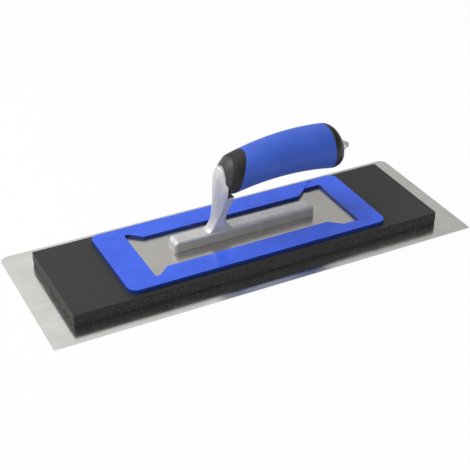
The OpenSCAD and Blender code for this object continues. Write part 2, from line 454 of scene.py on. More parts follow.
@dataclass(frozen=True)
class CutFoam:
    """Open-cell foam rubber: torn pores, crumbs that catch the light, a dull black body."""

    name: str
    colour: Colour = (0.026, 0.026, 0.026)
    walls: Colour = (0.075, 0.075, 0.073)
    crumbs: Colour = (0.2, 0.2, 0.19)
    pore_mm: float = 1.0
    fine_per_metre: float = 2400.0
    torn_per_metre: Point3 = (420.0, 420.0, 800.0)

    def material(self) -> bpy.types.Material:
        """Builds the node material.

        Returns:
            The material.
        """
        tree = Tree(self.name)
        tree.fix(Specular_IOR_Level=0.15, Sheen_Weight=0.1)
        pores = tree.cells(1.0 / (self.pore_mm * MM))
        fine = tree.noise(self.fine_per_metre, 3.0, 0.6)
        torn = tree.noise(1.0, 3.0, 0.65, tree.stretched(self.torn_per_metre))
        base = tree.blend(tree.span(fine, 0.4, 0.66), self.colour, self.walls)
        light = tree.join(
            Sum.MULTIPLIED, tree.span(torn, 0.54, 0.64), tree.span(fine, 0.45, 0.6)
        )
        tree.drive("Base Color", tree.blend(light, base, self.crumbs))
        tree.drive("Roughness", tree.span(fine, 0.3, 0.7, 0.8, 1.0))
        relief = tree.bump(pores, 0.6, 1.0)
        tree.bump(torn, 0.35, 0.7, tree.bump(fine, 0.12, 0.7, relief))
        return tree.material


# ---- Mesh tools


def settle(name: str, work: bmesh.types.BMesh, smooth: bool = True) -> Piece:
    """Makes an object in the scene from mesh work, its faces turned outward.

    Args:
        name: the object's name.
        work: the mesh work, in metres; it is freed.
        smooth: whether its faces are shaded smooth.

    Returns:
        The new object, at the origin.
    """
    bmesh.ops.recalc_face_normals(work, faces=work.faces)
    mesh = bpy.data.meshes.new(name)
    work.to_mesh(mesh)
    work.free()
    if smooth:
        mesh.shade_smooth()
    else:
        mesh.shade_flat()
    obj = bpy.data.objects.new(name, mesh)
    bpy.context.scene.collection.objects.link(obj)
    return obj


def store(
    name: str, points: Sequence[Point3], faces: Sequence[Sequence[int]], smooth: bool = True
) -> Piece:
    """Stores points in millimetres as a mesh object in the scene.

    Args:
        name: the object's name.
        points: corner points.
        faces: corner numbers of each face.
        smooth: whether its faces are shaded smooth.

    Returns:
        The new object, at the origin.
    """
    rough = bpy.data.meshes.new(name)
    rough.from_pydata([tuple(c * MM for c in p) for p in points], [], [list(f) for f in faces])
    work = bmesh.new()
    work.from_mesh(rough)
    bpy.data.meshes.remove(rough)
    return settle(name, work, smooth)


def skin(name: str, rings: Sequence[Sequence[Point3]], hollow: bool = False) -> Piece:
    """Skins a closed surface over equal rings.

    Args:
        name: the object's name.
        rings: closed rings of points, in order.
        hollow: joins the last ring to the first, as in a tube; otherwise both ends are capped.

    Returns:
        The new object.
    """
    count = len(rings[0])
    rows = len(rings)
    points = [p for ring in rings for p in ring]
    faces: list[list[int]] = []
    for k in range(rows if hollow else rows - 1):
        m = (k + 1) % rows
        for i in range(count):
            j = (i + 1) % count
            faces.append([k * count + i, m * count + i, m * count + j, k * count + j])
    if not hollow:
        for first in (0, (rows - 1) * count):
            ring = points[first:first + count]
            centre = tuple(sum(p[a] for p in ring) / count for a in range(3))
            points.append(centre)
            hub = len(points) - 1
            faces += [[first + i, first + (i + 1) % count, hub] for i in range(count)]
    return store(name, points, faces)


def rounded(corners: Sequence[tuple[float, float, float]], steps: int = 6) -> list[Point2]:
    """An outline whose corners are arcs.

    Args:
        corners: x, y and radius of each corner, in order.
        steps: stretches in each arc.

    Returns:
        The outline's points; steps + 1 for each corner.
    """
    outline: list[Point2] = []
    count = len(corners)
    for i, (x, y, radius) in enumerate(corners):
        here = Vector((x, y))
        back = (Vector(corners[i - 1][:2]) - here).normalized()
        ahead = (Vector(corners[(i + 1) % count][:2]) - here).normalized()
        half = back.angle(ahead) / 2
        middle = here + (back + ahead).normalized() * (radius / math.sin(half))
        start = here + back * (radius / math.tan(half)) - middle
        end = here + ahead * (radius / math.tan(half)) - middle
        sweep = start.angle(end)
        for k in range(steps + 1):
            t = k / steps
            arm = (start * math.sin((1 - t) * sweep) + end * math.sin(t * sweep)) / math.sin(sweep)
            outline.append(tuple(middle + arm))
    return outline


def board(box: NodeBox, near: float, far: float, steps: int = 6) -> list[Point2]:
    """Outline of a box seen from above.

    Args:
        box: the box.
        near, far: corner radii at its lowest and at its highest y.
        steps: stretches in each corner's arc.

    Returns:
        The outline's points.
    """
    low, high = box.low, box.high
    return rounded([
        (low.x, low.y, near), (high.x, low.y, near), (high.x, high.y, far), (low.x, high.y, far),
    ], steps)


def prism(name: str, outlines: Sequence[Sequence[Point2]], low: float, high: float) -> Piece:
    """Raises a plate with optional holes.

    Args:
        name: the object's name.
        outlines: the outer outline, then any holes.
        low, high: heights of its two faces.

    Returns:
        The new object, with square edges.
    """
    work = bmesh.new()
    for outline in outlines:
        corners = [work.verts.new((x * MM, y * MM, low * MM)) for x, y in outline]
        for a, b in zip(corners, corners[1:] + corners[:1]):
            work.edges.new((a, b))
    bmesh.ops.triangle_fill(work, use_beauty=True, edges=work.edges[:])
    raised = bmesh.ops.extrude_face_region(work, geom=work.faces[:])
    tops = [v for v in raised["geom"] if isinstance(v, bmesh.types.BMVert)]
    bmesh.ops.translate(work, verts=tops, vec=(0.0, 0.0, (high - low) * MM))
    return settle(name, work)


def soften(obj: Piece, radius_mm: float, steps: int = 3, angle: float = 38.0) -> None:
    """Rounds every edge that turns by more than the angle, and keeps flat faces flat.

    Args:
        obj: the mesh object.
        radius_mm: width of the rounding.
        steps: faces across it.
        angle: least turn in degrees.
    """
    bevel = obj.modifiers.new("edge_round", "BEVEL")
    bevel.width = radius_mm * MM
    bevel.segments = steps
    bevel.limit_method = "ANGLE"
    bevel.angle_limit = math.radians(angle)
    bevel.use_clamp_overlap = True
    keep = obj.modifiers.new("flat_faces", "WEIGHTED_NORMAL")
    keep.weight = 80
    keep.keep_sharp = False


def bake(obj: Piece) -> None:
    """Applies the object's modifiers to its mesh.

    Args:
        obj: the object; it is left with no modifiers.
    """
    graph = bpy.context.evaluated_depsgraph_get()
    done = bpy.data.meshes.new_from_object(obj.evaluated_get(graph))
    obj.modifiers.clear()
    obj.data = done


def fuse(piece: Piece, tool: Piece, how: Fuse) -> None:
    """Joins a tool to a piece or cuts it away, and removes the tool.

    Args:
        piece: the piece that is worked on.
        tool: the solid that works on it; it is removed.
        how: joined or cut away.
    """
    step = piece.modifiers.new("fuse", "BOOLEAN")
    step.operation = how.value
    step.solver = "EXACT"
    step.object = tool
    bake(piece)
    bpy.data.objects.remove(tool)


def turns(count: int) -> list[float]:
    """Equal angles round a full turn, from 0."""
    return [2 * math.pi * i / count for i in range(count)]


def follow(x: float, stations: Sequence[Point2]) -> float:
    """Smooth curve through a few stations, read at x.

    Args:
        x: where to read it.
        stations: (x, value) pairs in rising order of x.

    Returns:
        The value, by a cubic through the neighbouring stations.
    """
    if x <= stations[0][0]:
        return stations[0][1]
    if x >= stations[-1][0]:
        return stations[-1][1]
    k = max(i for i in range(len(stations) - 1) if stations[i][0] <= x)

    def slope(i: int) -> float:
        """Slope of the curve at a station, flat at a turning point.

        Args:
            i: number of the station.

        Returns:
            The slope.
        """
        if i == 0 or i == len(stations) - 1:
            j = 0 if i == 0 else i - 1
            return (stations[j + 1][1] - stations[j][1]) / (stations[j + 1][0] - stations[j][0])
        before = (stations[i][1] - stations[i - 1][1]) / (stations[i][0] - stations[i - 1][0])
        after = (stations[i + 1][1] - stations[i][1]) / (stations[i + 1][0] - stations[i][0])
        return 0.0 if before * after <= 0 else 2 * before * after / (before + after)

    x0, v0 = stations[k]
    x1, v1 = stations[k + 1]
    wide = x1 - x0
    t = (x - x0) / wide
    return (
        v0 * (1 + 2 * t) * (1 - t) ** 2
        + v1 * t * t * (3 - 2 * t)
        + slope(k) * wide * t * (1 - t) ** 2
        - slope(k + 1) * wide * t * t * (1 - t)
    )


def dress(
    obj: Piece, finish: bpy.types.Material, body: Body, slot: str, *nodes: str
) -> Piece:
    """Gives a piece its finish and ties it to the frame.

    Args:
        obj: the piece.
        finish: its material.
        body: the body that it rides on.
        slot: name of its material slot; not used.
        nodes: the CAD nodes that it stands for.

    Returns:
        The same piece.
    """
    obj.data.materials.clear()
    obj.data.materials.append(finish)
    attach(obj, body.value)
    if nodes:
        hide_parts(*nodes)
    LOG.info("%s: %d faces on %s", obj.name, len(obj.data.polygons), body.value)
    return obj


# ---- The blade head


@dataclass
class BladeHead:
    """The steel blade with its foam board and clip frame, all sizes in millimetres."""

    corner_radius: float = 6.5
    square_corner: float = 0.5
    frame_corner: float = 7.0
    front_bar: float = 24.6
    tail_bar: float = 19.4
    side_bar: float = 10.5
    waist_step: float = 8.5
    front_pocket: float = 3.3
    tail_pocket: float = 14.5
    slant: float = 10.0
    window_corner: float = 1.6
    plate_gap: float = 0.4
    side_pitch: float = 1.1
    side_rows: int = 9
    tear: float = 0.35
    bow: float = 0.25
    inset: float = 0.3
    sheet_corner: float = 1.2
    groove_width: float = 0.6
    groove_depth: float = 0.6

    def __post_init__(self) -> None:
        """Reads the stack of nodes that the head is built on."""
        self.blade_box = NodeBox.of("blade")
        self.foam_box = NodeBox.of("foam_pad")
        self.sheet_box = NodeBox.of("top_sheet")
        self.frame_box = NodeBox.of("clip_frame")

    def blade(self) -> Piece:
        """Thin blade: square corners along its near side, rounded ones along its far side.

        Returns:
            The new piece.
        """
        outline = board(self.blade_box, self.square_corner, self.corner_radius, 10)
        obj = prism("steel_blade", [outline], self.blade_box.low.z, self.blade_box.high.z)
        soften(obj, 0.12, 2)
        return obj

    def foam(self) -> Piece:
        """Foam board with torn, slightly bowed cut sides.

        Returns:
            The new piece.
        """
        low, high = self.foam_box.low, self.foam_box.high
        outline = self._walk(low, high)
        rings = []
        for k in range(self.side_rows + 1):
            t = k / self.side_rows
            z = low.z + (high.z - low.z) * t
            bow = self.bow * math.sin(math.pi * t) - self.inset
            torn = self.tear * math.sin(math.pi * min(1.0, t + 0.08)) ** 0.3
            ring = []
            for x, y, out_x, out_y in outline:
                place = Vector((x, y, z))
                rough = noise.noise(place * 0.45) + 0.5 * noise.noise(place * 1.3)
                push = bow - torn * abs(rough)
                ring.append((x + out_x * push, y + out_y * push, z))
            rings.append(ring)
        return skin("foam_board", rings)

    def _walk(self, low: Vector, high: Vector) -> list[tuple[float, float, float, float]]:
        """Points round the foam board with their outward directions.

        Args:
            low, high: corners of the board's box.

        Returns:
            X and y of each point, then x and y of its outward direction.
        """
        corners = [(low.x, low.y), (high.x, low.y), (high.x, high.y), (low.x, high.y)]
        outs = [(0.0, -1.0), (1.0, 0.0), (0.0, 1.0), (-1.0, 0.0)]
        points = []
        for i, (out_x, out_y) in enumerate(outs):
            ax, ay = corners[i]
            bx, by = corners[(i + 1) % 4]
            before_x, before_y = outs[i - 1]
            steps = round(math.hypot(bx - ax, by - ay) / self.side_pitch)
            for k in range(steps):
                t = k / steps
                blend_x = out_x + (before_x if k == 0 else 0.0)
                blend_y = out_y + (before_y if k == 0 else 0.0)
                points.append((ax + (bx - ax) * t, ay + (by - ay) * t, blend_x, blend_y))
        return points

    def sheet(self) -> Piece:
        """Stiff top sheet with eased corners.

        Returns:
            The new piece.
        """
        box = self.sheet_box
        outline = board(box, self.sheet_corner, self.sheet_corner)
        obj = prism("top_sheet_board", [outline], box.low.z + SHEET_GAP, box.high.z)
        soften(obj, 0.3, 3)
        return obj

    def window(self, inset: float, radius: float) -> list[Point2]:
        """Outline of the window.

        Args:
            inset: how far it is drawn in.
            radius: radius of its corners.

        Returns:
            The outline's points.
        """
        low, high = self.frame_box.low, self.frame_box.high
        left = low.x + self.front_bar
        right = high.x - self.tail_bar
        pocket = (high.y - low.y) / 2 - self.side_bar
        waist = pocket - self.waist_step - inset
        pocket -= inset
        left_in = left + self.front_pocket
        right_in = right - self.tail_pocket
        half = [
            (left + inset, pocket), (left_in, pocket), (left_in + self.slant, waist),
            (right_in - self.slant, waist), (right_in, pocket), (right - inset, pocket),
        ]
        near = [(x, -y, radius) for x, y in half]
        far = [(x, y, radius) for x, y in reversed(half)]
        return rounded(near + far, steps=4)

    def clip_frame(self) -> Piece:
        """Glossy frame round the window, with a slim groove across its far tail corner.

        Returns:
            The new piece.
        """
        outline = board(self.frame_box, self.frame_corner, self.frame_corner, 10)
        window = self.window(0.0, self.window_corner)
        base, top = self.sheet_box.high.z, self.frame_box.high.z
        obj = prism("clip_frame_moulding", [outline, window], base, top)
        self._cut_groove(obj)
        soften(obj, 0.45, 3)
        return obj

    def _cut_groove(self, obj: Piece) -> None:
        """Cuts the groove that runs on from the slant of the far tail pocket to the outer edge.

        Args:
            obj: the frame's moulding.
        """
        high = self.frame_box.high
        right_in = high.x - self.tail_bar - self.tail_pocket
        pocket = high.y - self.side_bar
        slope = self.waist_step / self.slant
        reach = self.side_bar + 2.0
        overlap = 0.4
        start = Vector((right_in - overlap, pocket - overlap * slope))
        end = Vector((right_in + reach / slope, pocket + reach))
        side = (end - start).normalized().orthogonal() * self.groove_width / 2
        corners = [start + side, end + side, end - side, start - side]
        floor = high.z - self.groove_depth
        cutter = prism("groove_cutter", [[tuple(c) for c in corners]], floor, high.z + 1.0)
        fuse(obj, cutter, Fuse.CUT)

    def build(self, shop: "FinishShop") -> None:
        """Builds and dresses the four pieces.

        Args:
            shop: the finishes.
        """
        dress(self.blade(), shop.blade, Body.HEAD, "blade_steel", "blade")
        foam = dress(self.foam(), shop.foam, Body.HEAD, "foam", "foam_pad")
        dress(self.sheet(), shop.sheet, Body.HEAD, "sheet_plastic", "top_sheet")
        dress(self.clip_frame(), shop.frame, Body.HEAD, "frame_plastic", "clip_frame")


# ---- The handle plate and the cast bracket


@dataclass
class HandlePlate:
    """The thin steel plate that fills the window, and the casting riveted on it."""

    head: BladeHead
    rail_width: float = 13.0
    rail_bevel: float = 1.4
    rail_edge: float = 0.2
    rail_end_round: float = 4.5
    voxel: float = 0.42
    section_steps: int = 5
    handle_rise: float = 45.8
    boss_height: float = 28.8
    leaf_back: float = -15.5
    wide_at: float = 38.0

    def __post_init__(self) -> None:
        """Reads the plate, the bracket and the rod that it holds."""
        self.plate_box = NodeBox.of("handle_plate")
        self.bracket_box = NodeBox.of("bracket")
        self.rail_low = self.plate_box.high.z
        self.rail_high = NodeBox.of("tie_rod").middle.z - self.handle_rise

    def plate(self) -> Piece:
        """Flat plate with the outline of the window.

        Returns:
            The new piece.
        """
        inset = self.head.plate_gap
        outline = self.head.window(inset, self.head.window_corner)
        base, top = self.plate_box.low.z + SHEET_GAP, self.plate_box.high.z
        obj = prism("handle_plate_sheet", [outline], base, top)
        soften(obj, 0.12, 2)
        return obj

    def _rail_rings(self) -> list[list[Point3]]:
        """Sections of the rail: its nose end rises from the plate in a round.

        Returns:
            The rings, from the nose end.
        """
        start, end = self.bracket_box.low.x, self.bracket_box.high.x
        tall = self.rail_high - self.rail_low
        rings = []
        # Each place: x, and the share of the full section there.
        places = []
        steps = 9
        for k in range(1, steps + 1):
            angle = math.pi / 2 * k / steps
            places.append((start + self.rail_end_round * (1 - math.cos(angle)), math.sin(angle)))
        places += [(end - 0.8, 1.0), (end - 0.25, 0.99), (end, 0.95)]
        for x, share in places:
            half = self.rail_width / 2 * (0.62 + 0.38 * share)
            height = tall * (0.35 + 0.65 * share)
            bevel = self.rail_bevel * min(1.0, 0.6 + share)
            shoulder = height - bevel
            corners = [
                (-half, 0.0), (half, 0.0), (half, shoulder),
                (half - bevel, height), (-half + bevel, height), (-half, shoulder),
            ]
            section = rounded([(y, z, self.rail_edge) for y, z in corners], self.section_steps)
            rings.append([(x, y, self.rail_low + z) for y, z in section])
        return rings

    def _shank_rings(self) -> list[list[Point3]]:
        """Level sections of the shank, from inside the rail to the tip of the leaf.

        Returns:
            The rings, from below.
        """
        base = self.rail_high
        last = self.bracket_box.high.z - base
        # Stations of each curve: height above the rail, then x, half width or share of bulge.
        front = [(-3.0, -31.0), (0.0, -30.2), (2.0, -28.2), (5.5, -26.5), (10.5, -25.3), (19.5, -24.3),
                 (27.5, -23.8), (41.5, -23.0), (46.5, -22.3), (last, -19.7)]
        back = [(-3.0, -9.0), (0.0, -10.2), (0.7, -11.8), (1.6, -12.9), (4.5, -14.4), (9.5, -14.9),
                (15.5, -13.2), (20.5, -11.0), (25.5, -9.2), (29.0, -9.0)]
        leaf = [(-3.0, 5.3), (0.0, 5.1), (6.5, 5.0), (10.5, 5.5), (15.5, 6.3), (21.5, 7.1), (28.0, 8.9),
                (34.5, 10.2), (self.wide_at, 10.5)]
        body = [(-3.0, 6.42), (0.0, 6.42), (2.0, 6.2), (8.0, 5.9), (14.0, 6.2), (21.5, 7.0), (29.0, 8.2)]
        bulge = [(-3.0, 0.3), (3.5, 0.3), (10.5, 0.6), (21.5, 0.85), (34.5, 0.68), (41.0, 0.66),
                 (last, 0.45)]
        levels = [-3.0, -1.0, 0.0, 0.5, 1.0, 1.6, 2.4, 3.4, 5.0]
        levels += [6.6 + 1.6 * k for k in range(14)]
        levels += [self.boss_height - 0.3, self.boss_height, self.boss_height + 0.15]
        levels += [31.0, 34.5, self.wide_at]
        steps = 14
        reach = last - self.wide_at
        levels += [self.wide_at + reach * math.sin(math.pi / 2 * k / steps) for k in range(1, steps + 1)]
        rings = []
        for height in levels:
            half = follow(height, leaf)
            if height > self.wide_at:
                half *= math.sqrt(max(0.0, 1 - ((height - self.wide_at) / reach) ** 2))
            half = max(0.25, half)
            boss = height <= self.boss_height
            x_back = follow(height, back) if boss else self.leaf_back
            half_back = follow(height, body) if boss else half
            x_front = follow(height, front)
            depth = min(half * follow(height, bulge), x_back - x_front - 0.3)
            section = self._section(x_front, depth, half, x_back, half_back)
            rings.append([(x, y, base + height) for x, y in section])
        return rings

    def _section(
        self, x_front: float, depth: float, half: float, x_back: float, half_back: float
    ) -> list[Point2]:
        """One level section: a round front with a crisp edge, then sides to a softly rounded back.

        Args:
            x_front, x_back: the two ends.
            depth: how far the front bulges.
            half, half_back: half width at the front edge and at the back.

        Returns:
            The outline of the section.
        """
        turn = math.radians(48)
        steps = 16
        outline = []
        for k in range(steps + 1):
            angle = turn - 2 * turn * k / steps
            x = x_front + depth * (1 - math.cos(angle)) / (1 - math.cos(turn))
            outline.append((x, half * math.sin(angle) / math.sin(turn)))
        ease = min(1.8, half_back * 0.4, (x_back - x_front - depth) * 0.4)
        for side in (-1, 1):
            corner = []
            for k in range(self.section_steps + 1):
                angle = math.pi / 2 * k / self.section_steps
                x = x_back - ease * (1 - math.sin(angle))
                corner.append((x, side * (half_back - ease * (1 - math.cos(angle)))))
            outline += corner if side < 0 else corner[::-1]
        return outline

    def bracket(self) -> Piece:
        """One casting: the rail and the shank, fused and with softened edges.

        Returns:
            The new piece.
        """
        rail = skin("cast_bracket", self._rail_rings())
        shank = skin("shank_part", self._shank_rings())
        fuse(rail, shank, Fuse.JOIN)
        even = rail.modifiers.new("even", "REMESH")
        even.mode = "VOXEL"
        even.voxel_size = self.voxel * MM
        even.use_smooth_shade = True
        ease = rail.modifiers.new("ease", "SMOOTH")
        ease.factor = 0.5
        ease.iterations = 2
        bake(rail)
        rail.data.shade_smooth()
        return rail

    def build(self, shop: "FinishShop") -> None:
        """Builds and dresses the plate and the casting."""
        dress(self.plate(), shop.plate, Body.HANDLE, "plate_steel", "handle_plate")
        dress(self.bracket(), shop.cast, Body.HANDLE, "cast_alloy", "bracket")


# ---- The handle


@dataclass
class Handle:
    """The arched handle: ferrule, band, soft sleeve, end cap and fasteners, in millimetres."""

    front_radius: float = 15.5
    rear_radius: float = 18.2
    arch_radius: float = 210.0
    crown_rise: float = 5.8
    crown_offset: float = 46.4
    cap_length: float = 11.4
    seat_depth: float = 0.4
    dome_start: float = -6.4
    dome_length: float = 15.8
    grip_length: float = 78.0
    sleeve_wall: float = 3.0
    ferrule_step: float = 0.6
    nose_power: float = 1.32
    around: int = 96
    seam_ease: float = 0.35

    def __post_init__(self) -> None:
        """Places the handle from the tie rod, the sleeve and the washer."""
        rod = NodeBox.of("tie_rod")
        self.rod_z = rod.middle.z
        self.rod_start = rod.low.x
        self.rod_end = rod.high.x
        self.washer_box = NodeBox.of("washer")
        self.nut_box = NodeBox.of("handle_nut")
        self.cap_end = self.washer_box.low.x + self.seat_depth
        self.grip_end = self.cap_end - self.cap_length
        self.grip_start = self.grip_end - self.grip_length
        self.crown_x = self.grip_start + self.crown_offset
        self.nose_x = self.dome_start - self.dome_length

    def centre(self, x: float) -> float:
        """Height of the arched centre line at x."""
        fall = self.arch_radius - math.sqrt(self.arch_radius ** 2 - (x - self.crown_x) ** 2)
        return self.rod_z + self.crown_rise - fall

    def girth(self, x: float) -> float:
        """Radius of the grip at x."""
        share = (x - self.grip_start) / (self.grip_end - self.grip_start)
        return self.front_radius + (self.rear_radius - self.front_radius) * share

    def envelope(self, x: float) -> float:
        """Outer radius at x: the grip's taper, rounded down to nothing at the nose.

        Args:
            x: where to read it.

        Returns:
            The radius.
        """
        if x >= self.dome_start:
            return self.girth(x)
        share = min(1.0, (self.dome_start - x) / self.dome_length)
        return self.girth(self.dome_start) * (1 - share * share) ** (self.nose_power / 2)

    def front_seam(self, angle: float) -> float:
        """X of the seam between band and sleeve: it sweeps back over the top."""
        return self.grip_start - 1.83 + 4.73 * math.cos(angle) + 1.52 * math.cos(2 * angle)

    def rear_seam(self, angle: float) -> float:
        """X of the seam between sleeve and end cap: it leans forward a little at the top."""
        return self.grip_end - 0.7 - 0.3 * math.cos(angle)

    def band_seam(self, angle: float) -> float:
        """X of the step between ferrule and band."""
        return self.grip_start - 9.8 + 3.2 * math.cos(angle) + 1.1 * math.cos(2 * angle)

    def point(self, x: float, angle: float, radius: float) -> Point3:
        """A point at x, turned by angle from the top, radius from the centre line."""
        return x, radius * math.sin(angle), self.centre(x) + radius * math.cos(angle)

    def shell(
        self,
        name: str,
        start: Callable[[float], float],
        end: Callable[[float], float],
        outer: Callable[[float], float],
        wall: float,
        rows: int,
    ) -> Piece:
        """A closed shell between two seams, its rims eased.

        Args:
            name: the object's name.
            start, end: x of each seam by angle from the top.
            outer: outer radius at x.
            wall: thickness.
            rows: rings along it.

        Returns:
            The new object.
        """
        ease = self.seam_ease
        rim = [(0.0, ease), (0.06, 0.55 * ease), (0.16, 0.24 * ease), (0.32, 0.06 * ease), (0.5, 0.0)]
        reach = rim[-1][0]
        # Each ring: share of the way between the rims, millimetres added, depth below the surface.
        places = [(0.0, mm, cut) for mm, cut in rim]
        places += [(k / rows, reach * (1 - 2 * k / rows), 0.0) for k in range(1, rows)]
        places += [(1.0, -mm, cut) for mm, cut in reversed(rim)]
        places += [(1.0 - k / rows, 0.0, wall) for k in range(0, rows + 1, 3)]
        rings = []
        for share, extra, cut in places:
            ring = []
            for angle in turns(self.around):
                x = start(angle) * (1 - share) + end(angle) * share + extra
                ring.append(self.point(x, angle, outer(x) - cut))
            rings.append(ring)
        return skin(name, rings, hollow=True)

    def sleeve(self) -> Piece:
        """Soft grip sleeve."""
        return self.shell(
            "grip_sleeve_rubber", self.front_seam, self.rear_seam, self.girth, self.sleeve_wall, 48
        )

    def band(self) -> Piece:
        """Soft band behind the ferrule."""
        return self.shell(
            "ferrule_band_rubber", self.band_seam, self.front_seam, self.envelope, self.sleeve_wall, 18
        )

    def ferrule(self) -> Piece:
        """Blunt dome over the leaf, with a narrow open end at its nose.

        Returns:
            The new piece.
        """
        rows = 34
        wall = 2.2
        nose_bore = 0.4
        outer_rings, inner_rings = [], []
        for k in range(rows + 1):
            share = (0.03 + 0.97 * k / rows) ** 2
            rim = self.seam_ease * max(0.0, 1 - (rows - k) / 1.5)
            outer_ring, inner_ring = [], []
            for angle in turns(self.around):
                seam = self.band_seam(angle) + 0.1
                x = self.nose_x + (seam - self.nose_x) * share
                radius = max(nose_bore + 0.2, self.envelope(x) - self.ferrule_step)
                outer_ring.append(self.point(x, angle, radius - rim))
                inner_x = seam - (seam - self.nose_x - wall) * (1 - share)
                inner_ring.append(self.point(inner_x, angle, max(nose_bore, radius - wall)))
            outer_rings.append(outer_ring)
            inner_rings.append(inner_ring)
        return skin("nose_ferrule_dome", outer_rings + inner_rings[::-1], hollow=True)

    def cap(self) -> Piece:
        """Domed end cap with a flat, recessed seat for the washer.

        Returns:
            The new piece.
        """
        rows = 26
        seat_radius = 5.6
        bore = 2.7
        rings = []
        full = self.girth(self.grip_end)
        for k in range(rows + 1):
            turn = math.pi / 2 * k / rows
            rim = self.seam_ease * max(0.0, 1 - k / 1.5)
            ring = []
            dome = seat_radius + (full - seat_radius) * max(0.0, math.cos(turn)) ** 0.95 - rim
            for angle in turns(self.around):
                seam = self.rear_seam(angle)
                x = seam + (self.cap_end - seam) * math.sin(turn)
                px, py, pz = self.point(x, angle, dome)
                sink = (self.rod_z - self.centre(x)) * math.sin(turn) ** 3
                ring.append((px, py, pz + sink))
            rings.append(ring)
        seat = self.washer_box.low.x
        profile = [
            (self.cap_end - 0.1, seat_radius - 0.3), (seat, seat_radius - 0.4),
            (seat, bore), (seat - 6, bore),
        ]
        rings += [self.axis_ring(x, radius, self.around) for x, radius in profile]
        inner = []
        for angle in turns(self.around):
            inner.append(self.point(self.rear_seam(angle), angle, full - self.sleeve_wall))
        return skin("end_cap_dome", rings + [inner], hollow=True)

    def axis_ring(self, x: float, radius: float, sides: int) -> list[Point3]:
        """A circle of points round the rod's axis."""
        return [
            (x, radius * math.sin(angle), self.rod_z + radius * math.cos(angle))
            for angle in turns(sides)
        ]

    def turned(self, name: str, profile: Sequence[Point2], sides: int = 64) -> Piece:
        """A closed turned piece on the rod's axis, from a loop of (x, radius)."""
        return skin(name, [self.axis_ring(x, r, sides) for x, r in profile], hollow=True)

    def washer(self) -> Piece:
        """Stamped washer with one rounded and one sheared edge.

        Returns:
            The new piece.
        """
        a, b = self.washer_box.low.x, self.washer_box.high.x
        r = self.washer_box.size.z / 2
        bore = 2.6
        profile = [
            (a, bore), (a, r - 0.1), (a + 0.1, r), (b - 0.35, r),
            (b - 0.1, r - 0.12), (b, r - 0.38), (b, bore + 0.15), (b - 0.15, bore),
        ]
        obj = self.turned("nut_washer", profile)
        soften(obj, 0.05, 2, 30.0)
        return obj

    def nut(self) -> Piece:
        """Hexagon nut: chamfered corners and a countersunk bore.

        Returns:
            The new piece.
        """
        a, b = self.nut_box.low.x, self.nut_box.high.x
        flats = self.nut_box.size.y / 2
        sides = 72
        rings = []
        # Each ring: x, how much its corners are cut back, and the bore's radius where it is inside.
        for x, chamfer, bore in (
            (a, 0.0, 2.9), (a, 0.72, 0.0), (a + 0.35, 0.25, 0.0), (a + 0.75, 0.0, 0.0),
            (b - 0.95, 0.0, 0.0), (b - 0.45, 0.25, 0.0), (b, 0.72, 0.0),
            (b, 0.0, 2.95), (b - 0.45, 0.0, 2.55), (a + 0.45, 0.0, 2.55),
        ):
            ring = []
            for angle in turns(sides):
                to_flat = (angle + math.pi / 6) % (math.pi / 3) - math.pi / 6
                hexagon = flats / math.cos(to_flat)
                round_limit = flats / math.cos(math.pi / 6) - chamfer
                radius = bore or min(hexagon, round_limit)
                ring.append((x, radius * math.cos(angle), self.rod_z + radius * math.sin(angle)))
            rings.append(ring)
        obj = skin("handle_hex_nut", rings, hollow=True)
        soften(obj, 0.08, 2, 25.0)
        return obj

    def rod(self) -> Piece:
        """Tie rod with rolled thread on both ends.

        Returns:
            The new piece.
        """
        radius = NodeBox.of("tie_rod").size.z / 2
        pitch = 0.8
        crest, root, axis = radius - 0.02, radius - 0.4, 0.2
        front_thread, rear_thread = 7.0, 9.0
        profile: list[Point2] = [(self.rod_start, axis), (self.rod_start, radius - 0.5)]
        x = self.rod_start + 0.4
        while x < self.rod_start + front_thread:
            profile += [(x, crest), (x + pitch / 2, root)]
            x += pitch
        profile += [(x + 0.4, crest), (self.rod_end - rear_thread, crest)]
        x = self.rod_end - rear_thread + 0.4
        while x < self.rod_end - 0.9:
            profile += [(x, root), (x + pitch / 2, crest)]
            x += pitch
        profile += [
            (self.rod_end - 0.35, radius - 0.35), (self.rod_end, radius - 0.8), (self.rod_end, axis),
        ]
        return self.turned("tie_rod_stud", profile, 48)

    def build(self, shop: "FinishShop") -> None:
        """Builds and dresses the handle's pieces.

        Args:
            shop: the finishes.
        """
        dress(self.ferrule(), shop.ferrule, Body.HANDLE, "ferrule_plastic", "nose_ferrule")
        dress(self.band(), shop.band, Body.HANDLE, "band_rubber", "ferrule_band")
        dress(self.sleeve(), shop.grip, Body.HANDLE, "grip_rubber", "grip_sleeve")
        dress(self.cap(), shop.cap, Body.HANDLE, "cap_plastic", "end_cap")
        dress(self.washer(), shop.plated, Body.HANDLE, "washer_steel", "washer")
        dress(self.nut(), shop.plated, Body.HANDLE, "nut_steel", "handle_nut")
        dress(self.rod(), shop.plated, Body.HANDLE, "rod_steel", "tie_rod")


# ---- Finishes of all pieces


